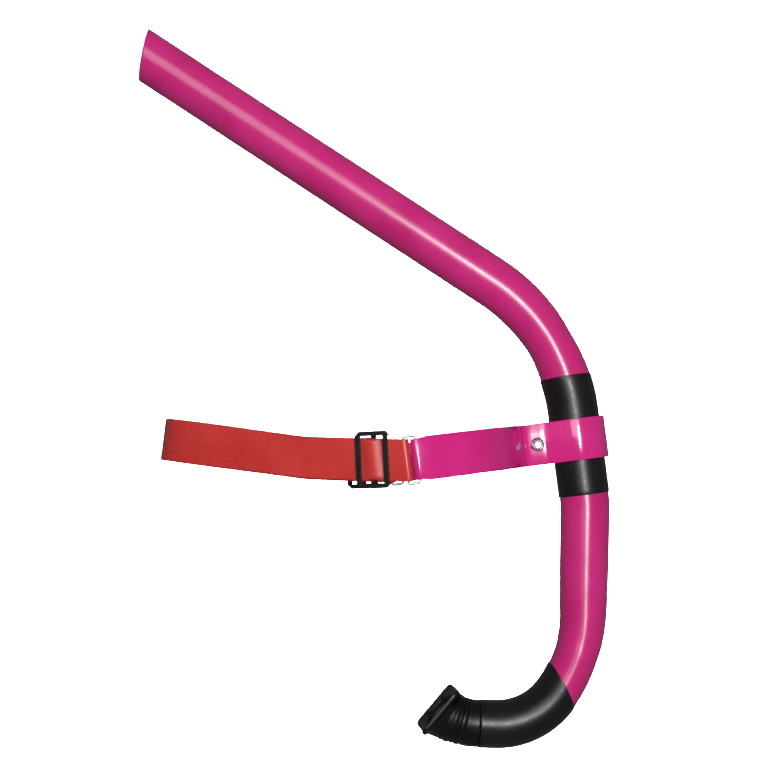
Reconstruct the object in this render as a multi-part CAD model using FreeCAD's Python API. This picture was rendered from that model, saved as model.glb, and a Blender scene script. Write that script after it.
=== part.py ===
"""A centre-mount swimming snorkel: bent tube, mouthpiece, head bracket and rubber head strap.

Millimetres. +X is the way the swimmer looks, +Y is the swimmer's left, +Z is up. Everything is first
built about the clamp centre, the point of the tube's axis at mid-height of the head bracket, and is
then moved so that the origin is the middle of the bracket's forehead arc.
"""
import FreeCAD, Part
import math
import os

from FreeCAD import Base

os.makedirs("parts", exist_ok=True)

V = Base.Vector

# Tube: a thin plastic pipe bent in one plane
TUBE_R = 12.0
TUBE_WALL = 1.0
BORE_R = TUBE_R - TUBE_WALL
CLAMP_SLOPE = 82.7          # fall of the tube's axis at the clamp, degrees below +X
STRAIGHT_ABOVE = 14.0       # straight run from the clamp centre up to the top bend
TOP_BEND_R = 88.5
TOP_BEND_TURN = 49.8
TOP_LEG = 201.9
TOP_CUT_LEAN = 11.1         # lean of the oblique end cut from vertical
STRAIGHT_BELOW = 27.0       # straight run from the clamp centre down to the chin legs
KINK_R = 61.0
KINK_TURN = 8.8
CHIN_LEG = 47.9
CHIN_BEND_R = 68.5
CHIN_BEND_TURN = 35.3
ELBOW_R = 35.0
ELBOW_TURN = 55.4
SOCKET_LEN = 8.0            # straight end of the tube that takes the mouthpiece

# Black sleeves shrunk on the tube
SLEEVE_T = 0.45
SLEEVE_ABOVE = 31.0         # along the tube's axis from the clamp centre
SLEEVE_BELOW = STRAIGHT_BELOW
ELBOW_SLEEVE_CUT = (-7.8, -119.4)
ELBOW_SLEEVE_LEAN = 28.2    # lean of the sleeve's upper edge from vertical

# Mouthpiece
SPIGOT_CLEARANCE = 0.08
SPIGOT_LEN = 7.5
SEAM_GAP = 0.3
NECK_R = 12.0
NECK_BEND_R = 34.0
NECK_TURN = 38.5
AIRWAY_R = 9.3
SHIELD_W = 36.0
SHIELD_H = 26.2
SHIELD_CORNER_R = 4.0
SHIELD_CURVE_R = 60.0
SHIELD_T = 2.2
SHIELD_SAG = SHIELD_CURVE_R - math.sqrt(SHIELD_CURVE_R**2 - (SHIELD_W / 2) ** 2)
LUG_Y = 12.5
LUG_T = 2.0
LUG_H = 11.0
LUG_NUB = 1.3
LUG_INSET = 0.6             # how far the bite lugs stay behind the shield's edge

# Head bracket: a flat strip bent into an omega
STRIP_T = 2.0
STRIP_W = 20.0
WRAP_CLEARANCE = 0.05
WRAP_R = TUBE_R + SLEEVE_T + WRAP_CLEARANCE + STRIP_T / 2
PINCH_ANGLE = 18.0          # how far each side leans in behind the tube
PINCH_CORNER_X = -16.6
PINCH_BEND_R = 4.0
FLARE_R = 4.5
FOREHEAD_R = 62.0           # to the middle of the strip
FOREHEAD_X = -90.0
HEM_X = -82.8
HEM_W = 18.6
HEM_R = 2.4
HEM_NECK = 5.0              # length of strip that is narrowed to HEM_W
SCREW_X = -20.9

# Clamp screw, nut and washer
SCREW_R = 1.8
THREAD_CLEARANCE = 0.05
SCREW_HOLE_R = 2.1
HEAD_R = 3.4
HEAD_H = 2.0
HEAD_DOME_R = 4.6
SOCKET_AF = 2.6
SOCKET_DEPTH = 1.3
WASHER_R = 3.5
WASHER_T = 0.8
NUT_AF = 6.0
NUT_H = 3.2
SCREW_PROUD = 1.2

# Wire loops between bracket and strap
WIRE_R = 0.75
WIRE_CLEARANCE = 0.06
LOOP_LEN = 5.3              # between the axes of its two long bars
LOOP_H = 21.6               # between the axes of its two short bars
LOOP_CORNER_R = 0.9

# Head strap, one flat rubber band; each end turns round its loop and lies behind the band
STRAP_T = 1.4
STRAP_W = 19.4
STRAP_FOLD_R = WIRE_R + WIRE_CLEARANCE + STRAP_T / 2
STRAP_IN = 22.0             # lean towards the middle behind the loops, degrees
STRAP_RUN = 42.0
STRAP_BACK_IN = 32.0
STRAP_BACK_R = 401.0
TAIL_LEN = 38.0
STRAP_RISE = 0.165          # climb per millimetre of distance behind the loops, along the run
STRAP_BACK_RISE = 0.272     # the same, behind the run
STRAP_TURN_UP = 4.0         # half the length over which the climb steepens
STRAP_SECTIONS = (6, 14, 8, 12, 12)     # lofted in the tail, fold, run, side and back

# Tri-glide buckles
BUCKLE_FROM_LOOP = 15.0
BUCKLE_L = 15.5
BUCKLE_H = 26.0
BUCKLE_RAIL = 2.2
BUCKLE_BAR = 2.3
BUCKLE_BAR_T = 1.4
BUCKLE_MID_BAR = 2.4
BUCKLE_MID_T = 1.0
BUCKLE_BAR_INSET = 1.0      # from the frame's long edges to the middle bar's ends
BUCKLE_GAP = 0.35
BUCKLE_CHAMFER = 2.0
BUCKLE_TILT = 5.0

ORIGIN_X = FOREHEAD_X + FOREHEAD_R - STRIP_T / 2
TILT = 90.0 - CLAMP_SLOPE
SPARE = 1.0
FAR = 400.0


# ---- plane routes made of straight runs and tangent arcs ----

def turned(point, heading, step):
    """End point and heading after one step, which is (length,) or (radius, turn)."""
    x, y = point
    a = math.radians(heading)
    if len(step) == 1:
        return (x + step[0] * math.cos(a), y + step[0] * math.sin(a)), heading
    radius, turn = step
    side = math.copysign(1.0, turn)
    cx = x - side * radius * math.sin(a)
    cy = y + side * radius * math.cos(a)
    b = math.radians(heading + turn)
    return (cx + side * radius * math.sin(b), cy - side * radius * math.cos(b)), heading + turn


def route(point, heading, steps):
    """The stations of a route: (point, heading, step) for each step, then the end."""
    stations = []
    for step in steps:
        stations.append((point, heading, step))
        point, heading = turned(point, heading, step)
    return stations, point, heading


def arc_centre(point, heading, radius, turn):
    side = math.copysign(1.0, turn)
    a = math.radians(heading)
    return point[0] - side * radius * math.sin(a), point[1] + side * radius * math.cos(a)


# ---- the tube's plane is XZ ----

def upright(point):
    return V(point[0], 0, point[1])


def rod(stations, radius):
    """A round bar along stations in the XZ plane."""
    solids = []
    for point, heading, step in stations:
        a = math.radians(heading)
        along = V(math.cos(a), 0, math.sin(a))
        if len(step) == 1:
            solids.append(Part.makeCylinder(radius, step[0], upright(point), along))
            continue
        bend, turn = step
        disc = Part.Face(Part.Wire(Part.makeCircle(radius, upright(point), along)))
        centre = upright(arc_centre(point, heading, bend, turn))
        axis = V(0, -math.copysign(1.0, turn), 0)
        solids.append(disc.revolve(centre, axis, abs(turn)))
    return solids[0].multiFuse(solids[1:]) if len(solids) > 1 else solids[0]


def half_space(point, lean, side):
    """A huge block on one side of a plane through point that holds Y and leans from vertical."""
    block = Part.makeBox(FAR, 2 * FAR, 2 * FAR, V(0 if side > 0 else -FAR, -FAR, -FAR))
    block.rotate(V(0, 0, 0), V(0, 1, 0), lean)
    block.translate(upright(point))
    return block


UP_HEADING = 180.0 - CLAMP_SLOPE
CUT_SPARE = 12.0
up_route, tube_top, top_heading = route(
    (0, 0), UP_HEADING, [(STRAIGHT_ABOVE,), (TOP_BEND_R, TOP_BEND_TURN), (TOP_LEG,)]
)
up_long = up_route[:2] + [(up_route[2][0], up_route[2][1], (TOP_LEG + CUT_SPARE,))]
down_route, seam, seam_heading = route(
    (0, 0),
    -CLAMP_SLOPE,
    [
        (STRAIGHT_BELOW,),
        (KINK_R, -KINK_TURN),
        (CHIN_LEG,),
        (CHIN_BEND_R, -CHIN_BEND_TURN),
        (ELBOW_R, -ELBOW_TURN),
        (SOCKET_LEN,),
    ],
)


def snorkel_tube():
    top = rod(up_long, TUBE_R).cut(rod(up_long, BORE_R))
    bottom = rod(down_route, TUBE_R).cut(rod(down_route, BORE_R))
    top = top.cut(half_space(tube_top, TOP_CUT_LEAN, -1))
    return top.fuse(bottom)


def grip_sleeve():
    bend_part = math.degrees((SLEEVE_ABOVE - STRAIGHT_ABOVE) / TOP_BEND_R)
    above, _, _ = route((0, 0), UP_HEADING, [(STRAIGHT_ABOVE,), (TOP_BEND_R, bend_part)])
    below, _, _ = route((0, 0), -CLAMP_SLOPE, [(SLEEVE_BELOW,)])
    halves = [
        rod(half, TUBE_R + SLEEVE_T).cut(rod(half, TUBE_R)) for half in (above, below)
    ]
    return halves[0].fuse(halves[1])


def elbow_sleeve():
    bends = down_route[3:]
    whole = rod(bends, TUBE_R + SLEEVE_T).cut(rod(bends, TUBE_R))
    return whole.cut(half_space(ELBOW_SLEEVE_CUT, -ELBOW_SLEEVE_LEAN, 1))


# ---- mouthpiece ----

def mouthpiece():
    inner_start, _ = turned(seam, seam_heading, (-SPIGOT_LEN,))
    spigot, _, _ = route(inner_start, seam_heading, [(SPIGOT_LEN + SEAM_GAP,)])
    neck_start, _ = turned(seam, seam_heading, (SEAM_GAP,))
    neck, mouth, mouth_heading = route(neck_start, seam_heading, [(NECK_BEND_R, -NECK_TURN)])
    body = rod(spigot, BORE_R - SPIGOT_CLEARANCE).fuse(rod(neck, NECK_R))

    # The shield and lugs are drawn with the mouth's axis along +X, then turned into place.
    # The outline is a block deep enough to hold the whole curve of the shield.
    outline = Part.makeBox(
        3 * SHIELD_SAG, SHIELD_W, SHIELD_H, V(-2 * SHIELD_SAG, -SHIELD_W / 2, -SHIELD_H / 2)
    )
    long_edges = [e for e in outline.Edges if abs(e.tangentAt(e.FirstParameter).x) > 0.99]
    outline = outline.makeFillet(SHIELD_CORNER_R, long_edges)
    curve_x = SHIELD_CURVE_R - SHIELD_SAG
    hollow = Part.makeCylinder(SHIELD_CURVE_R, 2 * SHIELD_W, V(curve_x, 0, -SHIELD_W))
    solid = Part.makeCylinder(SHIELD_CURVE_R + SHIELD_T, 2 * SHIELD_W, V(curve_x, 0, -SHIELD_W))
    in_front = Part.makeBox(FAR, FAR, FAR, V(0, -FAR / 2, -FAR / 2))
    shield = outline.common(solid.cut(hollow)).cut(in_front)
    lugs = []
    for side in (-1, 1):
        stem_x = curve_x - math.sqrt((SHIELD_CURVE_R + SHIELD_T / 2) ** 2 - LUG_Y**2)
        stem = Part.makeBox(
            -stem_x - LUG_INSET, LUG_T, LUG_H, V(stem_x, side * LUG_Y - LUG_T / 2, -LUG_H / 2)
        )
        nub_t = LUG_T + 2 * LUG_NUB
        nub = Part.makeBox(
            LUG_T, nub_t, LUG_H, V(-LUG_INSET - LUG_T, side * LUG_Y - nub_t / 2, -LUG_H / 2)
        )
        lugs += [stem, nub]
    mouth_space = hollow.fuse(in_front)
    placed = []
    for shape in (shield.multiFuse(lugs), mouth_space):
        shape.rotate(V(0, 0, 0), V(0, -1, 0), mouth_heading)
        shape.translate(upright(mouth))
        placed.append(shape)
    shield, mouth_space = placed
    body = body.cut(mouth_space).fuse(shield)
    spigot_bore = rod(spigot, AIRWAY_R)
    long_neck, _, _ = route(neck_start, seam_heading, [(NECK_BEND_R, -NECK_TURN), (SHIELD_T,)])
    return body.cut(spigot_bore).cut(rod(long_neck, AIRWAY_R))


# ---- head bracket, in its own frame: X forward, Y left, Z along the tube at the clamp ----

def slab(point, heading, step, thickness, height):
    """One straight or curved stretch of an upright strip."""
    a = math.radians(heading)
    end, _ = turned(point, heading, step)
    half = thickness / 2
    if len(step) == 1:
        nx, ny = -math.sin(a) * half, math.cos(a) * half
        corners = [
            V(point[0] + nx, point[1] + ny, 0),
            V(end[0] + nx, end[1] + ny, 0),
            V(end[0] - nx, end[1] - ny, 0),
            V(point[0] - nx, point[1] - ny, 0),
        ]
        wire = Part.makePolygon(corners + corners[:1])
    else:
        radius, turn = step
        cx, cy = arc_centre(point, heading, radius, turn)
        centre = V(cx, cy, 0)
        from_centre = math.degrees(math.atan2(point[1] - cy, point[0] - cx))
        low, high = sorted((from_centre, from_centre + turn))
        outer = Part.makeCircle(radius + half, centre, V(0, 0, 1), low, high)
        inner = Part.makeCircle(radius - half, centre, V(0, 0, 1), low, high)
        joins = [
            Part.makeLine(outer.Vertexes[i].Point, inner.Vertexes[i].Point) for i in (0, 1)
        ]
        wire = Part.Wire(Part.__sortEdges__([outer, joins[1], inner, joins[0]]))
    face = Part.Face(wire)
    face.translate(V(0, 0, -height / 2))
    return face.extrude(V(0, 0, height))


def hem_centre():
    """The axis of the right-hand hem, set in from the strip so that the outer face runs flush."""
    angle = math.acos((HEM_X - FOREHEAD_X) / FOREHEAD_R)
    reach = FOREHEAD_R + STRIP_T / 2 - HEM_R
    return FOREHEAD_X + reach * math.cos(angle), -reach * math.sin(angle)


def bracket_half():
    """The right-hand half of the strip, from the front of the wrap to the hem."""
    lean = math.radians(PINCH_ANGLE)
    wrap_end = (-WRAP_R * math.sin(lean), -WRAP_R * math.cos(lean))
    corner_cut = PINCH_BEND_R * math.tan(lean / 2)
    side_len = (wrap_end[0] - PINCH_CORNER_X) / math.cos(lean) - corner_cut
    steps = [
        (WRAP_R, -(90.0 + PINCH_ANGLE)),
        (side_len,),
        (PINCH_BEND_R, PINCH_ANGLE),
    ]
    stations, point, heading = route((WRAP_R, 0), -90.0, steps)
    flare_y = point[1] - FLARE_R
    flare_x = FOREHEAD_X + math.sqrt((FOREHEAD_R + FLARE_R) ** 2 - flare_y**2)
    first = math.degrees(math.atan2(-flare_y, flare_x - FOREHEAD_X))
    last = math.degrees(math.acos((HEM_X - FOREHEAD_X) / FOREHEAD_R))
    neck = math.degrees(HEM_NECK / FOREHEAD_R)
    rest = [(point[0] - flare_x,), (FLARE_R, 90.0 - first), (FOREHEAD_R, first - last + neck)]
    more, point, heading = route(point, heading, rest)
    pieces = [slab(p, h, s, STRIP_T, STRIP_W) for p, h, s in stations + more]
    pieces.append(slab(point, heading, (FOREHEAD_R, -neck), STRIP_T, HEM_W))
    hx, hy = hem_centre()
    pieces.append(Part.makeCylinder(HEM_R, HEM_W, V(hx, hy, -HEM_W / 2)))
    strip = pieces[0].multiFuse(pieces[1:])
    bore = Part.makeCylinder(WIRE_R + WIRE_CLEARANCE, STRIP_W, V(hx, hy, -STRIP_W / 2))
    return strip.cut(bore)


def seat_y():
    """Outer face of the strip where the screw goes through, on the left-hand side."""
    lean = math.radians(PINCH_ANGLE)
    inward = (-PINCH_CORNER_X - WRAP_R * math.sin(lean)) * math.tan(lean)
    return WRAP_R * math.cos(lean) - inward + STRIP_T / 2


def head_bracket():
    half = bracket_half()
    whole = half.fuse(half.mirror(V(0, 0, 0), V(0, 1, 0))).removeSplitter()
    hole = Part.makeCylinder(SCREW_HOLE_R, 4 * seat_y(), V(SCREW_X, -2 * seat_y(), 0), V(0, 1, 0))
    return whole.cut(hole)


# ---- clamp screw, washer and nut: head on the right-hand side ----

def hexagon(across_flats, height, base_y):
    corner = across_flats / math.sqrt(3)
    points = [
        V(
            SCREW_X + corner * math.cos(math.radians(60 * k)),
            base_y,
            corner * math.sin(math.radians(60 * k)),
        )
        for k in range(7)
    ]
    return Part.Face(Part.makePolygon(points)).extrude(V(0, height, 0))


def clamp_screw():
    seat = -seat_y()
    length = 2 * seat_y() + WASHER_T + NUT_H + SCREW_PROUD
    shank = Part.makeCylinder(SCREW_R, length, V(SCREW_X, seat, 0), V(0, 1, 0))
    head = Part.makeCylinder(HEAD_R, HEAD_H, V(SCREW_X, seat - HEAD_H, 0), V(0, 1, 0))
    dome = Part.makeSphere(HEAD_DOME_R, V(SCREW_X, seat - HEAD_H + HEAD_DOME_R, 0))
    socket = hexagon(SOCKET_AF, SOCKET_DEPTH + SPARE, seat - HEAD_H - SPARE)
    return shank.fuse(head.common(dome)).cut(socket)


def nut_washer():
    start = V(SCREW_X, seat_y(), 0)
    disc = Part.makeCylinder(WASHER_R, WASHER_T, start, V(0, 1, 0))
    return disc.cut(Part.makeCylinder(SCREW_HOLE_R, WASHER_T, start, V(0, 1, 0)))


def clamp_nut():
    base = seat_y() + WASHER_T
    body = hexagon(NUT_AF, NUT_H, base)
    thread = Part.makeCylinder(
        SCREW_R + THREAD_CLEARANCE, NUT_H, V(SCREW_X, base, 0), V(0, 1, 0)
    )
    return body.cut(thread)


# ---- wire loops ----

def loop_bar_x():
    return hem_centre()[0] - LOOP_LEN


def wire_loop(side):
    """A rounded rectangle of wire whose front bar turns in the bracket's hem."""
    hx, hy = hem_centre()
    r = LOOP_CORNER_R
    top = LOOP_H / 2
    back = -LOOP_LEN
    q = r * math.sin(math.radians(45))
    arcs = [
        ((-r, top), (-r + q, top - r + q), (0, top - r)),
        ((0, -top + r), (-r + q, -top + r - q), (-r, -top)),
        ((back + r, -top), (back + r - q, -top + r - q), (back, -top + r)),
        ((back, top - r), (back + r - q, top - r + q), (back + r, top)),
    ]
    edges = []
    for k, (a, m, b) in enumerate(arcs):
        ends = [V(p[0], 0, p[1]) for p in (a, m, b)]
        edges.append(Part.Arc(*ends).toShape())
        following = arcs[(k + 1) % 4][0]
        edges.append(Part.makeLine(ends[2], V(following[0], 0, following[1])))
    path = Part.Wire(edges)
    start = edges[1].Vertexes[0].Point
    disc = Part.Wire(Part.makeCircle(WIRE_R, start, V(0, 0, 1)))
    loop = path.makePipeShell([disc], True, True)
    loop.translate(V(hx, -side * hy, 0))
    return loop


# ---- head strap: flat sections along a plan route, climbing towards the back ----

def climb(x):
    back = max(loop_bar_x() - x, 0.0)
    past = back - STRAP_RUN * math.cos(math.radians(STRAP_IN)) - STRAP_TURN_UP
    steeper = STRAP_BACK_RISE - STRAP_RISE
    if past <= -STRAP_TURN_UP:
        return STRAP_RISE * back
    if past < STRAP_TURN_UP:
        return STRAP_RISE * back + steeper * (past + STRAP_TURN_UP) ** 2 / (4 * STRAP_TURN_UP)
    return STRAP_RISE * back + steeper * past


def strap_steps():
    """From the right-hand tail's end, round the right loop's bar, to the middle of the back."""
    run_y = hem_centre()[1] - STRAP_FOLD_R * math.cos(math.radians(STRAP_IN))
    y = run_y + STRAP_RUN * math.sin(math.radians(STRAP_IN))
    a, b = (math.radians(d) for d in (STRAP_IN, STRAP_BACK_IN))
    y += STRAP_BACK_R * (math.cos(a) - math.cos(b))
    back_r = -y / math.cos(b)
    return [
        (TAIL_LEN,),
        (STRAP_FOLD_R, -180.0),
        (STRAP_RUN,),
        (STRAP_BACK_R, STRAP_IN - STRAP_BACK_IN),
        (back_r, STRAP_BACK_IN - 90.0),
    ]


def strap_stations():
    """Points and headings along the right-hand half of the strap."""
    lean = math.radians(STRAP_IN)
    fold_x = loop_bar_x() + STRAP_FOLD_R * math.sin(lean)
    fold_y = hem_centre()[1] + STRAP_FOLD_R * math.cos(lean)
    tail = (fold_x - TAIL_LEN * math.cos(lean), fold_y + TAIL_LEN * math.sin(lean))
    stations, _, _ = route(tail, -STRAP_IN, strap_steps())
    out = []
    for (point, heading, step), count in zip(stations, STRAP_SECTIONS):
        for k in range(count):
            if len(step) == 1:
                part = (step[0] * k / count,)
            else:
                part = (step[0], step[1] * k / count) if k else (0.0,)
            out.append(turned(point, heading, part))
    out.append(turned(*stations[-1]))
    return out


def strap_section(point, heading):
    a = math.radians(heading)
    nx, ny = -math.sin(a) * STRAP_T / 2, math.cos(a) * STRAP_T / 2
    z = climb(point[0])
    low, high = z - STRAP_W / 2, z + STRAP_W / 2
    corners = [
        V(point[0] + nx, point[1] + ny, low),
        V(point[0] + nx, point[1] + ny, high),
        V(point[0] - nx, point[1] - ny, high),
        V(point[0] - nx, point[1] - ny, low),
    ]
    return Part.makePolygon(corners + corners[:1])


def head_strap():
    half = strap_stations()
    other = [((x, -y), 180.0 - h) for (x, y), h in reversed(half[:-1])]
    sections = [strap_section(p, h) for p, h in half + other]
    return Part.makeLoft(sections, True, True)


# ---- tri-glide buckles: outer frame in front of the band, middle bar between its two layers ----

def buckle(side):
    """Drawn with the band's run along +X from the loop, outward face +Y, then put in place."""
    front = STRAP_FOLD_R + STRAP_T / 2 + BUCKLE_GAP
    back = -BUCKLE_MID_T / 2
    depth = front + BUCKLE_BAR_T - back
    half_l, half_h = BUCKLE_L / 2, BUCKLE_H / 2
    frame = Part.makeBox(BUCKLE_L, depth, BUCKLE_H, V(-half_l, back, -half_h))
    corners = [e for e in frame.Edges if abs(e.tangentAt(e.FirstParameter).y) > 0.99]
    frame = frame.makeChamfer(BUCKLE_CHAMFER, corners)
    inner_h = BUCKLE_H - 2 * BUCKLE_RAIL
    window = Part.makeBox(
        BUCKLE_L - 2 * BUCKLE_BAR,
        2 * depth,
        inner_h,
        V(-half_l + BUCKLE_BAR, -depth, -inner_h / 2),
    )
    channel = Part.makeBox(BUCKLE_L, front - back, inner_h, V(-half_l, back, -inner_h / 2))
    bar = Part.makeBox(
        BUCKLE_MID_BAR,
        BUCKLE_MID_T,
        BUCKLE_H - 2 * BUCKLE_BAR_INSET,
        V(-BUCKLE_MID_BAR / 2, back, BUCKLE_BAR_INSET - half_h),
    )
    shape = frame.cut(window).cut(channel).fuse(bar)
    shape.rotate(V(0, 0, 0), V(0, 1, 0), -BUCKLE_TILT)
    shape = shape.mirror(V(0, 0, 0), V(0, 1, 0)).mirror(V(0, 0, 0), V(1, 0, 0))
    shape.rotate(V(0, 0, 0), V(0, 0, 1), -STRAP_IN)
    lean = math.radians(STRAP_IN)
    x = loop_bar_x() - BUCKLE_FROM_LOOP * math.cos(lean)
    y = hem_centre()[1] + BUCKLE_FROM_LOOP * math.sin(lean)
    shape.translate(V(x, y, climb(x)))
    return shape if side < 0 else shape.mirror(V(0, 0, 0), V(0, 1, 0))


def placed(shape, in_bracket_frame):
    """Moves a shape from the clamp centre to the object's frame."""
    if in_bracket_frame:
        shape.rotate(V(0, 0, 0), V(0, 1, 0), -TILT)
    origin = V(ORIGIN_X, 0, 0)
    origin = Base.Rotation(V(0, 1, 0), -TILT).multVec(origin)
    shape.translate(-origin)
    return shape


PIECES = {
    "snorkel_tube": (snorkel_tube(), False),
    "grip_sleeve": (grip_sleeve(), False),
    "elbow_sleeve": (elbow_sleeve(), False),
    "mouthpiece": (mouthpiece(), False),
    "head_bracket": (head_bracket(), True),
    "clamp_screw": (clamp_screw(), True),
    "nut_washer": (nut_washer(), True),
    "clamp_nut": (clamp_nut(), True),
    "right_wire_loop": (wire_loop(-1), True),
    "left_wire_loop": (wire_loop(1), True),
    "head_strap": (head_strap(), True),
    "right_buckle": (buckle(-1), True),
    "left_buckle": (buckle(1), True),
}

for name, (shape, in_bracket_frame) in PIECES.items():
    shape = placed(shape, in_bracket_frame)
    print(name, shape.isValid(), len(shape.Solids), round(shape.Volume, 1))
    shape.exportStep(f"parts/{name}.step")
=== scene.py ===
"""A centre-mount swimming snorkel: every visible piece, its materials, the lights and the camera.

The route, bracket and strap figures repeat the CAD source's, in millimetres about the clamp centre.
"""

import bmesh
import bpy
import math
from mathutils import Matrix, Vector, noise

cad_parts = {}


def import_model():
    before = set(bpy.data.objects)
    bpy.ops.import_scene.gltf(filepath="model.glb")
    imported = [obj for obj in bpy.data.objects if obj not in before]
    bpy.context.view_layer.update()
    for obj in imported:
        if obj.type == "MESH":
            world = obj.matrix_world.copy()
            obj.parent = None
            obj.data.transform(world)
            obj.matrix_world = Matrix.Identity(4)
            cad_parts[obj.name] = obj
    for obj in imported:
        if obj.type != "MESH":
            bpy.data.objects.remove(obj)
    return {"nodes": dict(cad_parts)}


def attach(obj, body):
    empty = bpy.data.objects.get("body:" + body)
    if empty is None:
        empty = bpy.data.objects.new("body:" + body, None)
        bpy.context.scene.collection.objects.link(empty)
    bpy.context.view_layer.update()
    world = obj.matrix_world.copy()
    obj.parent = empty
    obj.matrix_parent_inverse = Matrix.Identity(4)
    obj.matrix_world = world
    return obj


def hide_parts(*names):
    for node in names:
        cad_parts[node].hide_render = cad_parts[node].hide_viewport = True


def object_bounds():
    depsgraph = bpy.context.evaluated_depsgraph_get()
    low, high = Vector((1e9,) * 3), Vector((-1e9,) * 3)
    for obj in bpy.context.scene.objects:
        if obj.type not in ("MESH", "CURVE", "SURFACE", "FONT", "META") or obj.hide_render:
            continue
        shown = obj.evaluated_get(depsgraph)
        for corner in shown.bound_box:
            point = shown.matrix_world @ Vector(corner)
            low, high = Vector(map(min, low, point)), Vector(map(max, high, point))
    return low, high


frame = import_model()
cad_lo, cad_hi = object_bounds()

# ---- figures shared with the CAD source, millimetres ----
TUBE_R = 12.0
TUBE_WALL = 1.0
TOP_BEND_END = 92.0
CUT_REACH = 16.0
CLAMP_SLOPE = 82.7
UP_STEPS = [(14.0,), (88.5, 49.8), (201.9,)]
DOWN_STEPS = [(27.0,), (61.0, -8.8), (47.9,), (68.5, -35.3), (35.0, -55.4), (8.0,)]
TOP_CUT_LEAN = 11.1
SLEEVE_T = 0.45
SLEEVE_ABOVE = 31.0
SLEEVE_BELOW = 27.0
SLEEVE_RISE = 0.4
SLEEVE_SLANT = 1.95
ELBOW_SLEEVE_CUT = (-7.8, -119.4)
ELBOW_SLEEVE_LEAN = 28.2
ELBOW_OVERHANG = 0.24
NECK_STEP = (34.0, -38.5)
SEAM_GAP = 0.3
SPIGOT_R = 10.1
NECK_BORE_R = 9.3
FLARE_ROOT_R = 12.1
SHIELD_W = 36.0
SHIELD_H = 26.2
SHIELD_CURVE_R = 60.0
SHIELD_T = 2.2
SHIELD_SQUARENESS = 14.0
LUG_Y = 12.5
STRIP_T = 2.0
STRIP_W = 20.0
WRAP_R = 13.5
PINCH_ANGLE = 18.0
PINCH_CORNER_X = -16.6
PINCH_BEND_R = 4.0
FLARE_R = 4.5
FOREHEAD_R = 62.0
FOREHEAD_X = -90.0
HEM_X = -82.8
HEM_W = 18.6
HEM_R = 2.4
SCREW_X = -20.9
WASHER_T = 0.8
NUT_T = 3.2
SCREW_TIP = 1.2
THREAD_R = 1.78
THREAD_ROOT_R = 1.62
THREAD_PITCH = 0.5
WIRE_R = 0.75
WIRE_BORE = 0.81
LOOP_LEN = 5.3
LOOP_H = 21.6
LOOP_CORNER_R = 0.9
STRAP_T = 1.4
STRAP_W = 19.4
STRAP_FOLD_R = 1.51
STRAP_IN = 22.0
STRAP_RUN = 42.0
STRAP_BACK_IN = 32.0
STRAP_BACK_R = 401.0
TAIL_LEN = 38.0
STRAP_RISE = 0.165
STRAP_BACK_RISE = 0.272
STRAP_TURN_UP = 4.0
STRAP_BACK_SLANT = 5.1
BUCKLE_FROM_LOOP = 15.0
BOW_HALF_LEN = 5.3
BOW_RISE = 1.2

TILT = 90.0 - CLAMP_SLOPE
MM = 0.001
SIDES = 72
ORIGIN = Matrix.Rotation(math.radians(-TILT), 3, "Y") @ Vector(
    (FOREHEAD_X + FOREHEAD_R - STRIP_T / 2, 0, 0)
)
LOCAL = Matrix.Rotation(math.radians(-TILT), 3, "Y")


def world(v):
    """From clamp-centred millimetres to the frame, in metres."""
    return (Vector(v) - ORIGIN) * MM


def local(v):
    """From the bracket's own axes, in millimetres, to the frame, in metres."""
    return (LOCAL @ Vector(v) - ORIGIN) * MM


# ---- plane routes ----

def turned(point, heading, step):
    """End of a step: (length,) is straight, (radius, degrees) is an arc."""
    x, y = point
    a = math.radians(heading)
    if len(step) == 1:
        return (x + step[0] * math.cos(a), y + step[0] * math.sin(a)), heading
    radius, turn = step
    side = math.copysign(1.0, turn)
    cx, cy = x - side * radius * math.sin(a), y + side * radius * math.cos(a)
    b = math.radians(heading + turn)
    return (cx + side * radius * math.sin(b), cy - side * radius * math.cos(b)), heading + turn


def length_of(step):
    return step[0] if len(step) == 1 else step[0] * math.radians(abs(step[1]))


def along(start, heading, steps, s):
    """Point and heading at arc length s of a route; past either end it goes straight on."""
    point = start
    for k, step in enumerate(steps):
        size = length_of(step)
        if s <= size or k == len(steps) - 1:
            if len(step) == 1 or s < 0:
                return turned(point, heading, (s,))
            if s > size:
                point, heading = turned(point, heading, step)
                return turned(point, heading, (s - size,))
            return turned(point, heading, (step[0], step[1] * s / size)) if s else (point, heading)
        point, heading = turned(point, heading, step)
        s -= size
    return point, heading


DOWN_LEN = sum(length_of(s) for s in DOWN_STEPS)
UP_LEN = sum(length_of(s) for s in UP_STEPS)
SEAM_POINT, SEAM_HEADING = along((0, 0), -CLAMP_SLOPE, DOWN_STEPS, DOWN_LEN)


def axis_at(s):
    """Point and downward heading of the tube's axis; s runs up from the clamp centre."""
    if s >= 0:
        point, heading = along((0, 0), 180.0 - CLAMP_SLOPE, UP_STEPS, s)
        return point, heading + 180.0
    return along((0, 0), -CLAMP_SLOPE, DOWN_STEPS, -s)


def eased(table, x):
    """Smooth interpolation in a table of (x, value) with rising x."""
    if x <= table[0][0]:
        return table[0][1]
    for (x0, v0), (x1, v1) in zip(table, table[1:]):
        if x <= x1:
            t = (x - x0) / (x1 - x0)
            t = t * t * (3 - 2 * t)
            return v0 + (v1 - v0) * t
    return table[-1][1]


# The pipe is flattened where it was bent: in-plane half width over nominal, against s.
FLATTEN = [
    (-168, 0.93), (-150, 0.928), (-134, 0.91), (-120, 0.892), (-105, 0.88), (-97, 0.912),
    (-75, 0.965), (-60, 0.985), (-38, 0.995), (-26, 1.0), (30, 1.0), (38, 0.975), (50, 0.942),
    (61, 0.975), (73, 1.005), (95, 1.02), (150, 1.015), (230, 0.996), (265, 0.99), (292, 1.0),
]


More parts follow.
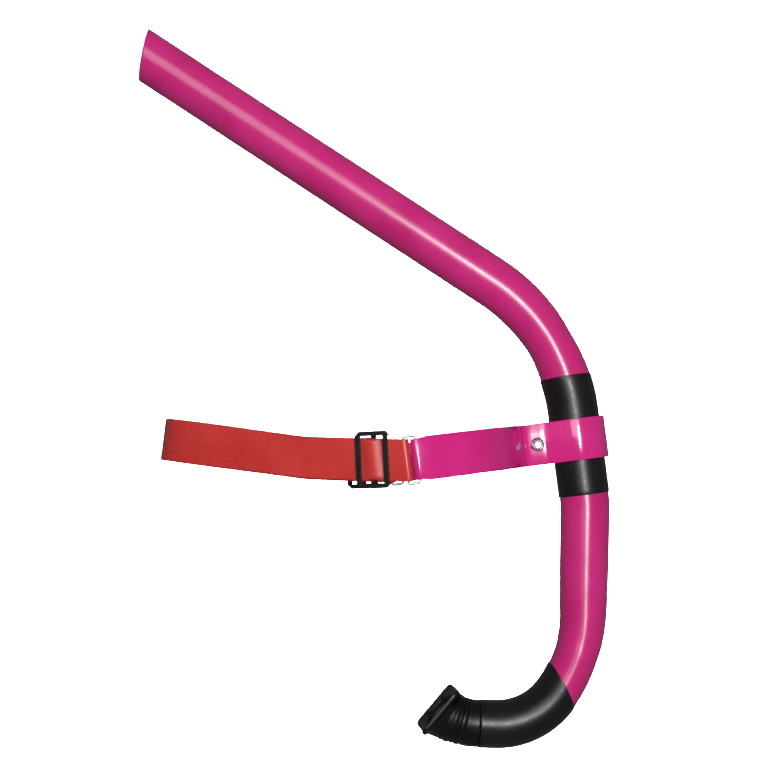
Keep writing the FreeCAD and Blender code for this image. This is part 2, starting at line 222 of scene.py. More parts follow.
def pipe_point(s, phi, radius):
    """A point of the bent pipe at arc length s, phi from the outward side of the bend."""
    (x, z), heading = axis_at(s)
    a = math.radians(heading)
    flat = eased(FLATTEN, s)
    inset = TUBE_R - radius
    in_plane = TUBE_R * flat - inset
    across = TUBE_R * (1 + 0.5 * (1 - flat)) - inset
    n = in_plane * math.cos(phi)
    return Vector((x - math.sin(a) * n, across * math.sin(phi), z + math.cos(a) * n))


# ---- mesh helpers ----

def angles(count=SIDES):
    """Equal steps of a full turn, in radians."""
    return [2 * math.pi * k / count for k in range(count)]


def mesh_piece(name, bm, sharp=40.0):
    """A smooth-shaded object from a bmesh, with edges over the sharp angle kept."""
    bmesh.ops.recalc_face_normals(bm, faces=bm.faces)
    data = bpy.data.meshes.new(name)
    bm.to_mesh(data)
    bm.free()
    for p in data.polygons:
        p.use_smooth = True
    data.set_sharp_from_angle(angle=math.radians(sharp))
    obj = bpy.data.objects.new(name, data)
    bpy.context.scene.collection.objects.link(obj)
    return obj


def skin(bm, rings, around=True, closed=False, caps=True):
    """Quads between successive rings of points, in metres."""
    rows = [[bm.verts.new(p) for p in ring] for ring in rings]
    pairs = list(zip(rows, rows[1:]))
    if closed:
        pairs.append((rows[-1], rows[0]))
    for a, b in pairs:
        n = len(a)
        for k in range(n if around else n - 1):
            j = (k + 1) % n
            bm.faces.new((a[k], a[j], b[j], b[k]))
    if caps and not closed:
        bm.faces.new(list(reversed(rows[0])))
        bm.faces.new(rows[-1])
    return rows


def rounded_rect(w, h, r, per_corner=4):
    """Outline points of a w by h rectangle with rounded corners, centred."""
    out = []
    for cx, cy, start in (
        (w / 2 - r, h / 2 - r, 0),
        (-w / 2 + r, h / 2 - r, 90),
        (-w / 2 + r, -h / 2 + r, 180),
        (w / 2 - r, -h / 2 + r, 270),
    ):
        for k in range(per_corner + 1):
            a = math.radians(start + 90 * k / per_corner)
            out.append((cx + r * math.cos(a), cy + r * math.sin(a)))
    return out


# ---- materials ----

def material(name, base, shade, tint, grain, rough, bump=0.0, bump_scale=900.0, metal=0.0, coat=0.0,
             coat_rough=0.06, specular=0.5, sss=0.0, marks=0.0):
    """A procedural surface: two scales of colour drift, roughness drift and fine relief."""
    mat = bpy.data.materials.new(name)
    mat.use_nodes = True
    nodes, links = mat.node_tree.nodes, mat.node_tree.links
    nodes.clear()
    out = nodes.new("ShaderNodeOutputMaterial")
    bsdf = nodes.new("ShaderNodeBsdfPrincipled")
    links.new(bsdf.outputs["BSDF"], out.inputs["Surface"])
    coords = nodes.new("ShaderNodeTexCoord")
    mapping = nodes.new("ShaderNodeMapping")
    links.new(coords.outputs["Object"], mapping.inputs["Vector"])

    def noise_at(scale, detail, roughness=0.55):
        n = nodes.new("ShaderNodeTexNoise")
        n.inputs["Scale"].default_value = scale
        n.inputs["Detail"].default_value = detail
        n.inputs["Roughness"].default_value = roughness
        links.new(mapping.outputs["Vector"], n.inputs["Vector"])
        return n

    broad = noise_at(grain * 0.12, 3.0)
    fine = noise_at(grain, 6.0, 0.62)
    ramp = nodes.new("ShaderNodeValToRGB")
    ramp.color_ramp.elements[0].position = 0.3
    ramp.color_ramp.elements[0].color = (*shade, 1)
    ramp.color_ramp.elements[1].position = 0.72
    ramp.color_ramp.elements[1].color = (*tint, 1)
    middle = ramp.color_ramp.elements.new(0.5)
    middle.color = (*base, 1)
    links.new(broad.outputs["Fac"], ramp.inputs["Fac"])
    specks = nodes.new("ShaderNodeValToRGB")
    specks.color_ramp.elements[0].position = 0.70
    specks.color_ramp.elements[0].color = (0, 0, 0, 1)
    specks.color_ramp.elements[1].position = 0.78
    specks.color_ramp.elements[1].color = (marks, marks, marks, 1)
    links.new(fine.outputs["Fac"], specks.inputs["Fac"])
    mix = nodes.new("ShaderNodeMix")
    mix.data_type = "RGBA"
    mix.inputs["B"].default_value = (*[min(1.0, c * 1.5 + 0.05) for c in base], 1)
    links.new(specks.outputs["Color"], mix.inputs["Factor"])
    links.new(ramp.outputs["Color"], mix.inputs["A"])
    links.new(mix.outputs["Result"], bsdf.inputs["Base Color"])
    spread = nodes.new("ShaderNodeMapRange")
    spread.inputs["From Min"].default_value = 0.3
    spread.inputs["From Max"].default_value = 0.7
    spread.inputs["To Min"].default_value = rough[0]
    spread.inputs["To Max"].default_value = rough[1]
    links.new(fine.outputs["Fac"], spread.inputs["Value"])
    links.new(spread.outputs["Result"], bsdf.inputs["Roughness"])
    if bump:
        relief = noise_at(bump_scale, 4.0)
        node = nodes.new("ShaderNodeBump")
        node.inputs["Strength"].default_value = bump
        node.inputs["Distance"].default_value = 0.0002
        links.new(relief.outputs["Fac"], node.inputs["Height"])
        links.new(node.outputs["Normal"], bsdf.inputs["Normal"])
    bsdf.inputs["Metallic"].default_value = metal
    bsdf.inputs["Specular IOR Level"].default_value = specular
    bsdf.inputs["Coat Weight"].default_value = coat
    bsdf.inputs["Coat Roughness"].default_value = coat_rough
    if sss:
        bsdf.inputs["Subsurface Weight"].default_value = sss
        bsdf.inputs["Subsurface Radius"].default_value = (0.004, 0.0012, 0.0008)
        bsdf.inputs["Subsurface Scale"].default_value = 1.0
    return mat


PINK_TUBE = material(
    "tube_pink", (0.62, 0.022, 0.20), (0.56, 0.017, 0.175), (0.66, 0.028, 0.225), 420.0, (0.21, 0.28),
    bump=0.05, bump_scale=700.0, marks=0.25,
)
PINK_STRIP = material(
    "strip_pink", (0.68, 0.016, 0.225), (0.63, 0.012, 0.20), (0.73, 0.022, 0.25), 300.0, (0.13, 0.18),
    bump=0.03, bump_scale=320.0, coat=0.6, marks=0.08,
)
BLACK_SLEEVE = material(
    "sleeve_black", (0.0055, 0.0062, 0.0078), (0.004, 0.0046, 0.0058), (0.008, 0.0092, 0.0112), 520.0,
    (0.30, 0.40), bump=0.10, bump_scale=1500.0, specular=0.45, marks=0.08,
)
BLACK_RUBBER = material(
    "mouthpiece_black", (0.0042, 0.0046, 0.0056), (0.003, 0.0033, 0.004), (0.006, 0.0066, 0.008), 460.0,
    (0.30, 0.40), bump=0.06, bump_scale=900.0, specular=0.32, marks=0.06,
)
BLACK_BUCKLE = material(
    "buckle_black", (0.0055, 0.0058, 0.0068), (0.004, 0.0042, 0.005), (0.008, 0.0084, 0.0098), 700.0,
    (0.32, 0.44), bump=0.15, bump_scale=1800.0, specular=0.4, marks=0.12,
)
STRAP_RED = material(
    "strap_red", (0.60, 0.038, 0.034), (0.54, 0.030, 0.028), (0.66, 0.052, 0.046), 260.0, (0.24, 0.36),
    bump=0.12, bump_scale=600.0, sss=0.25, marks=0.2,
)
STEEL_BRIGHT = material(
    "screw_bright", (0.78, 0.78, 0.80), (0.66, 0.66, 0.69), (0.86, 0.86, 0.88), 1500.0, (0.12, 0.24),
    bump=0.1, bump_scale=2500.0, metal=1.0, marks=0.1,
)
STEEL_WIRE = material(
    "wire_satin", (0.36, 0.36, 0.37), (0.28, 0.28, 0.29), (0.45, 0.45, 0.46), 1800.0, (0.30, 0.42),
    bump=0.15, bump_scale=3000.0, metal=1.0, marks=0.1,
)


def dress(obj, mat, body, slot, *nodes):
    """Gives a piece its material, the body it rides on and the nodes it stands for; the slot argument is not
    used.
    """
    obj.data.materials.clear()
    obj.data.materials.append(mat)
    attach(obj, body)
    if nodes:
        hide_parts(*nodes)
    return obj


# ---- tube: thin pipe, bent and slightly flattened, open at an oblique top end ----

def tube_piece():
    """The pipe's outer and inner skins, joined by a rounded lip at the open top."""
    (tx, tz), top_heading = axis_at(UP_LEN)
    lean = math.radians(TOP_CUT_LEAN)
    cut_n = Vector((-math.cos(lean), 0, math.sin(lean)))
    cut_p = Vector((tx, 0, tz))
    last = UP_LEN - CUT_REACH
    stations = []
    s = -DOWN_LEN
    while s < last:
        stations.append(s)
        s += 2.0 if s < TOP_BEND_END else 6.0
    stations.append(last)
    up = math.radians(top_heading)
    leg = Vector((-math.cos(up), 0, -math.sin(up)))

    def to_cut(radius, back):
        ring = []
        for phi in angles():
            p = pipe_point(last, phi, radius)
            reach = (cut_p - p).dot(cut_n) / leg.dot(cut_n)
            ring.append(world(p + leg * (reach - back)))
        return ring

    def ring(s, radius):
        return [world(pipe_point(s, phi, radius)) for phi in angles()]

    inner_r = TUBE_R - TUBE_WALL
    rings = [ring(s, TUBE_R) for s in stations]
    lip = ((0.0, 1.2), (0.0, 0.25), (0.10, 0.06), (0.25, 0.0))
    rings += [to_cut(TUBE_R - inset, back) for inset, back in lip]
    rings += [to_cut(inner_r + inset, back) for inset, back in reversed(lip)]
    rings += [ring(s, inner_r) for s in reversed(stations)]
    bm = bmesh.new()
    skin(bm, rings, closed=True)
    return mesh_piece("tube_pipe", bm)


dress(tube_piece(), PINK_TUBE, "tube", "tube_plastic", "snorkel_tube")


# ---- black sleeves, shrunk tight with soft rims ----

def sleeve_rings(low, high, count, rim=0.45):
    """Rings of a sleeve between two edges given as arc length against phi."""
    outer_r = TUBE_R + SLEEVE_T
    inner_r = TUBE_R + 0.01

    def ring(t, radius, shift=0.0):
        out = []
        for phi in angles():
            a, b = low(phi), high(phi)
            s = a + (b - a) * t + shift
            wave = 0.03 * noise.noise(Vector((s * 0.11, math.cos(phi) * 1.4, math.sin(phi) * 1.4)))
            out.append(world(pipe_point(s, phi, radius + (wave if radius > inner_r else 0))))
        return out

    edge = ((inner_r, 0.0), (outer_r - 0.30, 0.0), (outer_r - 0.10, 0.12), (outer_r, rim))
    rings = [ring(0, radius, shift) for radius, shift in edge]
    rings += [ring(k / count, outer_r) for k in range(1, count)]
    rings += [ring(1, radius, -shift) for radius, shift in reversed(edge)]
    rings += [ring(1 - k / count, inner_r) for k in range(1, count)]
    return rings


def grip_piece():
    """The grip sleeve; its upper edge rises towards the inside of the bend."""
    bm = bmesh.new()
    rings = sleeve_rings(
        lambda phi: -SLEEVE_BELOW,
        lambda phi: SLEEVE_ABOVE + SLEEVE_RISE - SLEEVE_SLANT * math.cos(phi),
        26,
    )
    skin(bm, rings, closed=True)
    return mesh_piece("sleeve_grip", bm)


def elbow_piece():
    """The elbow sleeve, from just past the tube's end to its oblique upper edge."""
    lean = math.radians(ELBOW_SLEEVE_LEAN)
    point = Vector((ELBOW_SLEEVE_CUT[0], 0, ELBOW_SLEEVE_CUT[1]))
    normal = Vector((math.cos(lean), 0, math.sin(lean)))
    found = {}

    def edge(phi):
        key = round(phi, 4)
        if key not in found:
            lo, hi = -160.0, -80.0
            for _ in range(40):
                mid = (lo + hi) / 2
                height = (pipe_point(mid, phi, TUBE_R + SLEEVE_T) - point).dot(normal)
                lo, hi = (mid, hi) if height < 0 else (lo, mid)
            found[key] = (lo + hi) / 2 + 0.5 * math.sin(phi) ** 2
        return found[key]

    bm = bmesh.new()
    skin(bm, sleeve_rings(lambda phi: -DOWN_LEN - ELBOW_OVERHANG, edge, 40), closed=True)
    return mesh_piece("sleeve_elbow", bm)


dress(grip_piece(), BLACK_SLEEVE, "tube", "black_sleeve", "grip_sleeve")
dress(elbow_piece(), BLACK_SLEEVE, "tube", "black_sleeve", "elbow_sleeve")


# ---- mouthpiece: spigot, ribbed neck, curved lip shield and bite lugs ----

NECK_LEN = length_of(NECK_STEP)
MOUTH_POINT, MOUTH_HEADING = turned(*turned(SEAM_POINT, SEAM_HEADING, (SEAM_GAP,)), NECK_STEP)
# Neck radius against distance from the seam: grooves, small ribs, a double bead and the flare.
NECK_PROFILE = [
    (0.0, 11.15), (0.5, 11.42), (3.0, 11.40), (6.4, 11.42), (7.0, 10.98), (7.6, 11.45), (8.9, 11.48),
    (9.5, 11.02), (10.0, 11.5), (10.4, 11.5), (10.9, 11.1), (11.5, 11.62), (12.4, 11.80), (13.3, 11.55),
    (14.2, 11.85), (15.3, 11.55),
]
NECK_FLARE_FROM = NECK_PROFILE[-1][0]


def neck_frame(s):
    """Frame at distance s from the seam: point, tangent and in-plane normal."""
    (x, z), heading = along(*turned(SEAM_POINT, SEAM_HEADING, (SEAM_GAP,)), [NECK_STEP], s)
    a = math.radians(heading)
    return Vector((x, 0, z)), Vector((math.cos(a), 0, math.sin(a))), Vector((-math.sin(a), 0, math.cos(a)))


def mouth_frame():
    """Frame at the mouth: point, tangent and in-plane normal."""
    a = math.radians(MOUTH_HEADING)
    point = Vector((MOUTH_POINT[0], 0, MOUTH_POINT[1]))
    return point, Vector((math.cos(a), 0, math.sin(a))), Vector((-math.sin(a), 0, math.cos(a)))


def shield_outline(phi, inset):
    """The lip shield's outline seen along the mouth's axis: (in-plane, across)."""
    half_h, half_w = SHIELD_H / 2 - inset, SHIELD_W / 2 - inset
    c, s = math.cos(phi), math.sin(phi)
    k = (abs(c) ** SHIELD_SQUARENESS + abs(s) ** SHIELD_SQUARENESS) ** (-1 / SHIELD_SQUARENESS)
    return half_h * c * k, half_w * s * k


def mouthpiece_piece():
    """Spigot, ribbed neck, flare and lip shield as one skin, with the bite lugs added."""
    curve_x = math.sqrt(SHIELD_CURVE_R**2 - (SHIELD_W / 2) ** 2)
    mp, mt, mn = mouth_frame()

    def depth(y, thick):
        r = SHIELD_CURVE_R + thick
        return curve_x - math.sqrt(max(r * r - y * y, 1.0))

    def mouth_ring(points, thick):
        out = []
        for n, y in points:
            out.append(world(mp + mt * depth(y, thick) + mn * n + Vector((0, y, 0))))
        return out

    def neck_ring(s, radius, squash=0.985):
        p, t, n = neck_frame(s)
        return [
            world(p + n * radius * squash * math.cos(phi) + Vector((0, radius * math.sin(phi), 0)))
            for phi in angles()
        ]

    def between(t, inset, thick):
        """Ring on the shield's face, from the neck's circle (t = 0) to the outline (t = 1)."""
        pts = []
        for phi in angles():
            n1, y1 = shield_outline(phi, inset)
            n0, y0 = FLARE_ROOT_R * math.cos(phi), FLARE_ROOT_R * math.sin(phi)
            pts.append((n0 + (n1 - n0) * t, y0 + (y1 - y0) * t))
        return mouth_ring(pts, thick)

    rings = []
    spigot = ((-7.5, 9.5), (-7.5, 9.85), (-7.2, SPIGOT_R), (-2.0, SPIGOT_R), (-0.1, SPIGOT_R), (0.0, 10.4))
    for s, r in spigot:
        rings.append(neck_ring(s, r))
    s = 0.0
    while s < NECK_FLARE_FROM:
        rings.append(neck_ring(s, eased(NECK_PROFILE, s) * (1 + 0.0025 * s)))
        s += 0.25
    base = neck_ring(NECK_FLARE_FROM, eased(NECK_PROFILE, NECK_FLARE_FROM) * 1.037)
    rings.append(base)
    root = between(0.16, 0.0, SHIELD_T + 0.55)
    for t in (0.2, 0.4, 0.6, 0.8):
        rings.append([a.lerp(b, t) for a, b in zip(base, root)])
    rings.append(root)
    for t, thick in ((0.3, 2.5), (0.45, 2.3), (0.6, 2.2), (0.75, 2.2), (0.88, 2.2)):
        rings.append(between(t, 0.0, thick))
    for inset, thick in ((0.45, 2.30), (0.12, 2.05), (0.0, 1.65), (0.0, 0.75), (0.12, 0.30), (0.45, 0.05)):
        rings.append(between(1.0, inset, thick))
    for t in (0.85, 0.65, 0.45, 0.25, 0.10, 0.0):
        rings.append(between(t, 0.45, 0.0))
    for r, thick in ((11.0, 0.05), (10.2, 0.4), (9.6, 1.1), (NECK_BORE_R, 2.0)):
        rings.append(mouth_ring([(r * math.cos(phi), r * math.sin(phi)) for phi in angles()], thick))
    s = NECK_LEN - 11.6
    while s > -7.0:
        rings.append(neck_ring(s, NECK_BORE_R, 1.0))
        s -= 1.6
    rings.append(neck_ring(-7.3, NECK_BORE_R, 1.0))
    bm = bmesh.new()
    skin(bm, rings, closed=True)
    for side in (-1, 1):
        lug(bm, mp, mt, mn, side, depth)
    return mesh_piece("mouthpiece_body", bm, 50.0)


def lug(bm, mp, mt, mn, side, depth):
    """A bite lug: a flat stem with a thickened, rounded end."""
    start = depth(LUG_Y, 1.1)
    widths = [
        (start, 2.4, 12.6), (start + 1.6, 2.1, 11.4), (-4.4, 2.0, 11.0), (-3.4, 2.2, 11.0), (-2.7, 3.8, 11.0),
        (-2.0, 4.5, 11.0), (-1.3, 4.4, 10.8), (-0.9, 3.6, 10.0), (-0.7, 2.4, 8.6),
    ]
    rings = []
    for x, w, h in widths:
        r = min(w, h) * 0.45
        rings.append(
            [world(mp + mt * x + mn * n + Vector((0, side * LUG_Y + y, 0))) for y, n in rounded_rect(w, h, r)]
        )
    skin(bm, rings)


dress(mouthpiece_piece(), BLACK_RUBBER, "mouthpiece", "mouthpiece_rubber", "mouthpiece")


# ---- head bracket: one glossy strip, rolled round the wire at both ends ----

def hem_centre():
    """Centre of the rolled hem on the right, in plan."""
    angle = math.acos((HEM_X - FOREHEAD_X) / FOREHEAD_R)
    reach = FOREHEAD_R + STRIP_T / 2 - HEM_R
    return FOREHEAD_X + reach * math.cos(angle), -reach * math.sin(angle)


def bracket_route():
    """One half of the strip: round the tube, down the pinch, out of the neck and along the forehead."""
    lean = math.radians(PINCH_ANGLE)
    wrap_end_x = -WRAP_R * math.sin(lean)
    side_len = (wrap_end_x - PINCH_CORNER_X) / math.cos(lean) - PINCH_BEND_R * math.tan(lean / 2)
    steps = [(WRAP_R, -(90.0 + PINCH_ANGLE)), (side_len,), (PINCH_BEND_R, PINCH_ANGLE)]
    point, heading = (WRAP_R, 0.0), -90.0
    for step in steps:
        point, heading = turned(point, heading, step)
    flare_y = point[1] - FLARE_R
    flare_x = FOREHEAD_X + math.sqrt((FOREHEAD_R + FLARE_R) ** 2 - flare_y**2)
    first = math.degrees(math.atan2(-flare_y, flare_x - FOREHEAD_X))
    last = math.degrees(math.acos((HEM_X - FOREHEAD_X) / FOREHEAD_R))
    return steps + [(point[0] - flare_x,), (FLARE_R, 90.0 - first), (FOREHEAD_R, first - last)]


def bracket_piece():
    """The whole strip, thinned and rolled round the wire at both ends."""
    steps = bracket_route()
    total = sum(length_of(s) for s in steps)
    roll_r = (HEM_R + WIRE_BORE) / 2
    roll_t = HEM_R - WIRE_BORE
    marks = []
    s = 0.0
    for step in steps:
        size = length_of(step)
        fine = len(step) == 1 or step[0] < 20
        count = max(2, round(size / (0.6 if fine else 1.6)))
        if len(step) == 1:
            count = max(2, round(size / 2.0))
        marks += [s + size * k / count for k in range(count)]
        s += size
    marks.append(total)
    half = []
    for s in marks:
        (x, y), heading = along((WRAP_R, 0.0), -90.0, steps, s)
        to_hem = total - s
        t = eased([(0.0, roll_t), (4.0, STRIP_T)], to_hem)
        h = eased([(0.0, HEM_W), (5.5, STRIP_W)], to_hem)
        a = math.radians(heading)
        out = (STRIP_T - t) / 2
        half.append((x - math.sin(a) * out, y + math.cos(a) * out, heading, t, h))
    hx, hy = hem_centre()
    last_heading = half[-1][2]
    for k in range(1, 25):
        heading = last_heading - 305.0 * k / 24
        a = math.radians(heading)
        half.append((hx - math.sin(a) * roll_r, hy + math.cos(a) * roll_r, heading, roll_t, HEM_W))
    stations = [(x, -y, 180.0 - h, t, w) for x, y, h, t, w in reversed(half[1:])]
    stations += half

    rings = []
    for x, y, heading, t, h in stations:
        a = math.radians(heading)
        r = min(0.42, t * 0.3)
        ring = []
        for n, z in rounded_rect(t, h, r, 3):
            ring.append(local((x - math.sin(a) * n, y + math.cos(a) * n, z)))
        rings.append(ring)
    bm = bmesh.new()
    skin(bm, rings)
    return mesh_piece("bracket_strip", bm, 50.0)


dress(bracket_piece(), PINK_STRIP, "bracket", "bracket_plastic", "head_bracket")


# ---- clamp screw: dished round head with a hexagon socket ----

def seat_y():
    """Distance of the pinched neck's outer face from the middle plane."""
    lean = math.radians(PINCH_ANGLE)
    inward = (-PINCH_CORNER_X - WRAP_R * math.sin(lean)) * math.tan(lean)
    return WRAP_R * math.cos(lean) - inward + STRIP_T / 2


def turned_ring(y, radius, hexed=0.0, count=60):
    """A ring about the screw's axis; hexed = 1 makes it a hexagon of that inner radius."""
    ring = []
    for phi in angles(count):
        wedge = (phi + math.pi / 6) % (math.pi / 3) - math.pi / 6
        r = radius * (1 + hexed * (1 / math.cos(wedge) - 1))
        ring.append(local((SCREW_X + r * math.sin(phi), y, r * math.cos(phi))))
    return ring


def screw_piece():
    """Threaded shank, dished head and hexagon socket, turned from tip to head."""
    seat = -seat_y()
    end = seat_y() + WASHER_T + NUT_T + SCREW_TIP
    rings = [turned_ring(end, 0.9), turned_ring(end, 1.5), turned_ring(end - 0.3, THREAD_R)]
    y = end - 0.6
    while y > seat + 2.4:
        thread = ((0.0, THREAD_R), (0.16, THREAD_ROOT_R), (0.32, THREAD_R))
        rings += [turned_ring(y - d, r) for d, r in thread]
        y -= THREAD_PITCH
    rings += [turned_ring(seat, THREAD_R), turned_ring(seat - 0.02, 3.1), turned_ring(seat - 0.12, 3.36)]
    rings += [turned_ring(seat - d, r) for d, r in (
        (0.45, 3.4), (0.9, 3.36), (1.35, 3.2), (1.7, 2.95), (1.9, 2.7), (1.97, 2.5),
        (1.92, 2.34), (1.72, 2.2), (1.45, 2.05), (1.25, 1.8), (1.15, 1.55),
    )]
    socket = ((1.12, 1.3), (1.0, 1.26), (0.45, 1.26), (0.40, 0.6))
    rings += [turned_ring(seat - d, r, 1.0) for d, r in socket]
    bm = bmesh.new()
    skin(bm, rings)
    return mesh_piece("screw_clamp", bm, 35.0)


dress(screw_piece(), STEEL_BRIGHT, "screw", "screw_steel", "clamp_screw")


def softened(node, name, width, segments=3, angle=30.0):
    """A CAD node's shape with every edge rounded."""
    source = frame["nodes"][node]
    bm = bmesh.new()
    bm.from_mesh(source.data)
    bmesh.ops.remove_doubles(bm, verts=bm.verts, dist=2e-6)
    limit = math.radians(2.0)
    bmesh.ops.dissolve_limit(bm, angle_limit=limit, verts=bm.verts, edges=bm.edges)
    edges = [e for e in bm.edges if len(e.link_faces) == 2 and e.calc_face_angle(0) > math.radians(angle)]
    bmesh.ops.bevel(bm, geom=edges, offset=width * MM, segments=segments, affect="EDGES", profile=0.5,
                    clamp_overlap=True)
    obj = mesh_piece(name, bm, 50.0)
    obj.modifiers.new("even_shading", "WEIGHTED_NORMAL").keep_sharp = True
    return obj


dress(softened("nut_washer", "washer_ring", 0.12, 2), STEEL_BRIGHT, "bracket", "screw_steel", "nut_washer")
dress(softened("clamp_nut", "nut_hex", 0.25, 3), STEEL_BRIGHT, "bracket", "screw_steel", "clamp_nut")


# ---- wire loops ----

def loop_piece(side):
    """A rectangular wire loop with rounded corners; side is -1 for the right."""
    hx, hy = hem_centre()
    r, top, back = LOOP_CORNER_R, LOOP_H / 2, -LOOP_LEN
    corners = [
        ((-r, top - r), 90),
        ((-r, -top + r), 0),
        ((back + r, -top + r), -90),
        ((back + r, top - r), -180),
    ]
    path = []
    for k, ((cx, cz), start) in enumerate(corners):
        for j in range(7):
            a = math.radians(start - 90 * j / 6)
            path.append((cx + r * math.cos(a), cz + r * math.sin(a), math.degrees(a) - 90))
        nx, nz = corners[(k + 1) % 4][0]
        na = math.radians(corners[(k + 1) % 4][1])
        ex, ez = nx + r * math.cos(na), nz + r * math.sin(na)
        x0, z0, h0 = path[-1]
        for j in (1, 2, 3):
            path.append((x0 + (ex - x0) * j / 4, z0 + (ez - z0) * j / 4, h0))
    rings = []
    for x, z, heading in path:
        a = math.radians(heading)
        rings.append([
            local((
                hx + x - math.sin(a) * WIRE_R * math.cos(phi),
                -side * hy + WIRE_R * math.sin(phi),
                z + math.cos(a) * WIRE_R * math.cos(phi),
            ))
            for phi in angles(20)
        ])
    bm = bmesh.new()
    skin(bm, rings, closed=True)
    return mesh_piece("wire_loop_right" if side < 0 else "wire_loop_left", bm)


dress(loop_piece(-1), STEEL_WIRE, "right_loop", "wire_steel", "right_wire_loop")
dress(loop_piece(1), STEEL_WIRE, "left_loop", "wire_steel", "left_wire_loop")


# ---- head strap: one flat rubber band, doubled back at both loops ----

LOOP_BAR_X = hem_centre()[0] - LOOP_LEN


def climb(x):
    """How far the band's middle line has risen at x, steeper past the straight run."""
    back = max(LOOP_BAR_X - x, 0.0)
    past = back - STRAP_RUN * math.cos(math.radians(STRAP_IN)) - STRAP_TURN_UP
    steeper = STRAP_BACK_RISE - STRAP_RISE
    if past <= -STRAP_TURN_UP:
        return STRAP_RISE * back
    if past < STRAP_TURN_UP:
        return STRAP_RISE * back + steeper * (past + STRAP_TURN_UP) ** 2 / (4 * STRAP_TURN_UP)
    return STRAP_RISE * back + steeper * past


def strap_steps():
    """One half of the band: tail, fold round the wire, straight run, gentle bend and back turn."""
    lean, back_lean = math.radians(STRAP_IN), math.radians(STRAP_BACK_IN)
    y = hem_centre()[1] - STRAP_FOLD_R * math.cos(lean) + STRAP_RUN * math.sin(lean)
    y += STRAP_BACK_R * (math.cos(lean) - math.cos(back_lean))
    return [
        (TAIL_LEN,),
        (STRAP_FOLD_R, -180.0),
        (STRAP_RUN,),
        (STRAP_BACK_R, STRAP_IN - STRAP_BACK_IN),
        (-y / math.cos(back_lean), STRAP_BACK_IN - 90.0),
    ]


def strap_piece():
    """The whole band, mirrored about the middle plane, with a little curl and wave where it hangs free."""
    lean = math.radians(STRAP_IN)
    fold = (LOOP_BAR_X + STRAP_FOLD_R * math.sin(lean), hem_centre()[1] + STRAP_FOLD_R * math.cos(lean))
    tail = (fold[0] - TAIL_LEN * math.cos(lean), fold[1] + TAIL_LEN * math.sin(lean))
    steps = strap_steps()
    half = []
    s = 0.0
    point, heading = tail, -STRAP_IN
    for step, count in zip(steps, (16, 20, 26, 46, 46)):
        for k in range(count):
            part = (step[0] * k / count,) if len(step) == 1 else (step[0], step[1] * k / count)
            p, h = turned(point, heading, part) if k else (point, heading)
            half.append((p, h, s + length_of(step) * k / count))
        s += length_of(step)
        point, heading = turned(point, heading, step)
    half.append((point, heading, s))
    other = [((x, -y), 180.0 - h, 2 * s - q) for (x, y), h, q in reversed(half[:-1])]
    rings = []
    run_from = TAIL_LEN + length_of(steps[1])
    free_from = run_from + 27.0
    back_from = run_from + STRAP_RUN
    for (x, y), heading, q in half + other:
        a = math.radians(heading)
        side_q = min(q, 2 * s - q)
        free = min(max((side_q - free_from) / 20.0, 0.0), 1.0)
        back = eased([(back_from, 0.0), (back_from + length_of(steps[3]), 1.0)], side_q)
        z0 = climb(x)
        ring = []
        for n, z in rounded_rect(STRAP_T, STRAP_W, 0.45, 4):
            v = z / (STRAP_W / 2)
            curl = -0.55 * free * max(abs(v) - 0.55, 0.0) ** 2 / 0.2
            wave = 0.22 * free * noise.noise(Vector((q * 0.028, v * 0.7, 3.1)))
            off = n - curl + wave
            slant = STRAP_BACK_SLANT * back * z / STRAP_W
            ring.append(local((x - math.sin(a) * off + slant, y + math.cos(a) * off, z0 + z)))
        rings.append(ring)
    bm = bmesh.new()
    skin(bm, rings)
    return mesh_piece("strap_band", bm, 50.0)


dress(strap_piece(), STRAP_RED, "strap", "strap_rubber", "head_strap")


# ---- tri-glide buckles, and the band's rise over each middle bar ----

def bow_piece(side):
    """The arch of the band over the buckle's hidden middle bar."""
    lean = math.radians(STRAP_IN)
    cx = LOOP_BAR_X - BUCKLE_FROM_LOOP * math.cos(lean)
    cy = hem_centre()[1] + BUCKLE_FROM_LOOP * math.sin(lean)
    face = STRAP_FOLD_R + STRAP_T / 2
    half_l, half_w = BOW_HALF_LEN, STRAP_W / 2 - 0.02
    cols, rows = 28, 18
    rings = []
    for k in range(cols + 1):
        u = -1 + 2 * k / cols
        rise = BOW_RISE * (0.5 + 0.5 * math.cos(u * math.pi)) ** 0.85
        profile = []
        for j in range(rows + 1):
            v = -1 + 2 * j / rows
            soft = max(1 - abs(v) ** 24, 0.0) ** 0.5
            profile.append((face + 0.03 + rise * soft, v * half_w))
        profile += [(face + 0.012, half_w * (1 - 2 * j / rows)) for j in range(rows + 1)]
        ring = []
        for n, z in profile:
            back = u * half_l
            x = cx - back * math.cos(lean) - n * math.sin(lean)
            y = cy + back * math.sin(lean) - n * math.cos(lean)
            ring.append(local((x, -side * y, climb(x) + z)))
        rings.append(ring)
    bm = bmesh.new()
    skin(bm, rings)
    return mesh_piece("strap_bow_right" if side < 0 else "strap_bow_left", bm, 50.0)


for side, hand in ((-1, "right"), (1, "left")):
    node = f"{hand}_buckle"
    dress(softened(node, f"buckle_{hand}", 0.38, 3), BLACK_BUCKLE, node, "buckle_plastic", node)
    dress(bow_piece(side), STRAP_RED, node, "strap_rubber")


# ---- floor, lights and camera ----

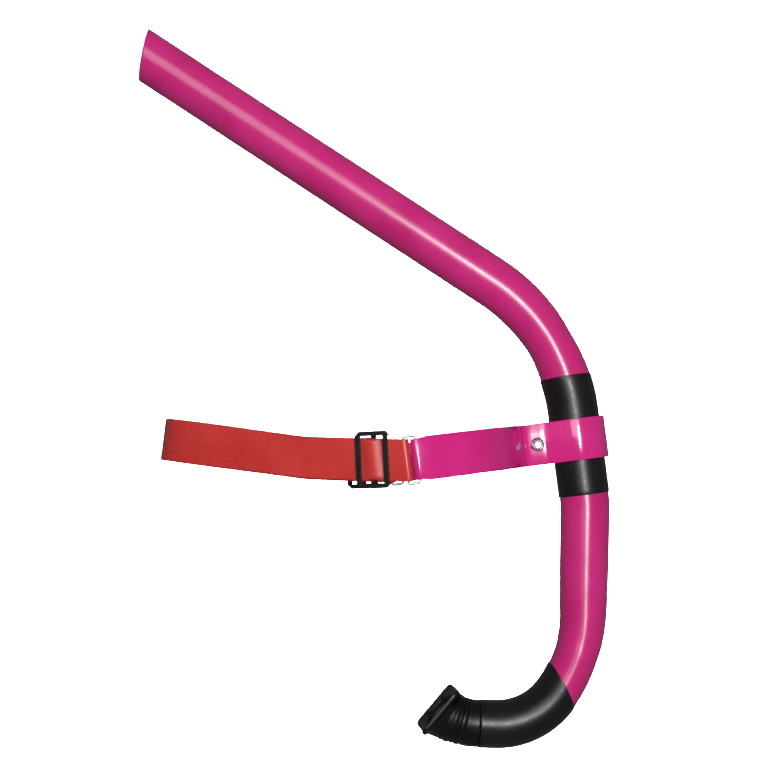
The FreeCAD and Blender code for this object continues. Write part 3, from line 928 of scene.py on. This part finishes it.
def stage_sheet():
    """A pale floor that curves up into a backdrop."""
    floor_z, back_y, r = cad_lo.z - 0.35, 1.6, 0.9
    profile = [(-3.5, floor_z), (back_y - r, floor_z)]
    profile += [
        (back_y - r + r * math.sin(a), floor_z + r - r * math.cos(a))
        for a in (math.radians(90 * k / 16) for k in range(1, 17))
    ]
    profile.append((back_y, floor_z + 4.5))
    rings = [[Vector((x, y, z)) for x in (-4.0, 4.0)] for y, z in profile]
    bm = bmesh.new()
    skin(bm, rings, around=False, caps=False)
    sheet = mesh_piece("stage_sheet", bm)
    mat = bpy.data.materials.new("stage_white")
    mat.use_nodes = True
    nodes, links = mat.node_tree.nodes, mat.node_tree.links
    bsdf = nodes["Principled BSDF"]
    tex = nodes.new("ShaderNodeTexNoise")
    tex.inputs["Scale"].default_value = 3.0
    ramp = nodes.new("ShaderNodeValToRGB")
    ramp.color_ramp.elements[0].color = (0.90, 0.90, 0.90, 1)
    ramp.color_ramp.elements[1].color = (0.93, 0.93, 0.93, 1)
    links.new(tex.outputs["Fac"], ramp.inputs["Fac"])
    links.new(ramp.outputs["Color"], bsdf.inputs["Base Color"])
    bsdf.inputs["Roughness"].default_value = 0.9
    bsdf.inputs["Specular IOR Level"].default_value = 0.0
    sheet.data.materials.append(mat)
    sheet.visible_glossy = False
    sheet.visible_diffuse = False


stage_sheet()

world_shader = bpy.data.worlds.new("studio")
world_shader.use_nodes = True
world_shader.node_tree.nodes["Background"].inputs["Color"].default_value = (1.0, 1.0, 1.0, 1)
world_shader.node_tree.nodes["Background"].inputs["Strength"].default_value = 0.14
bpy.context.scene.world = world_shader
bpy.context.scene.view_settings.view_transform = "Standard"


def area(name, location, target, size, size_y, power):
    """A rectangular white lamp pointed at a target."""
    light = bpy.data.lights.new(name, "AREA")
    light.shape = "RECTANGLE"
    light.size, light.size_y = size, size_y
    light.energy = power
    obj = bpy.data.objects.new(name, light)
    obj.location = location
    obj.rotation_euler = (Vector(target) - Vector(location)).to_track_quat("-Z", "Y").to_euler()
    bpy.context.scene.collection.objects.link(obj)
    return obj


area("light_key", (0.07, -1.05, 0.05), (-0.06, 0.0, 0.0), 0.09, 0.30, 5.5)
area("light_soft", (-0.25, -1.6, 0.45), (-0.06, 0.0, 0.03), 0.9, 0.9, 10.0)
backdrop_light = area("light_backdrop", (0.0, 0.55, 2.6), (0.0, 1.6, -0.2), 4.0, 1.2, 160.0)
backdrop_light.data.spread = math.radians(50.0)
backdrop_light.visible_glossy = False

camera = bpy.data.cameras.new("camera")
camera.sensor_width = 36.0
camera.lens = 85.56
camera.clip_start = 0.01
camera.clip_end = 50.0
camera_object = bpy.data.objects.new("camera", camera)
camera_object.location = (-0.11696, -0.90143, -0.02085)
camera_object.rotation_euler = (math.radians(93.01), 0.0, math.radians(-3.52))
bpy.context.scene.collection.objects.link(camera_object)
bpy.context.scene.camera = camera_object
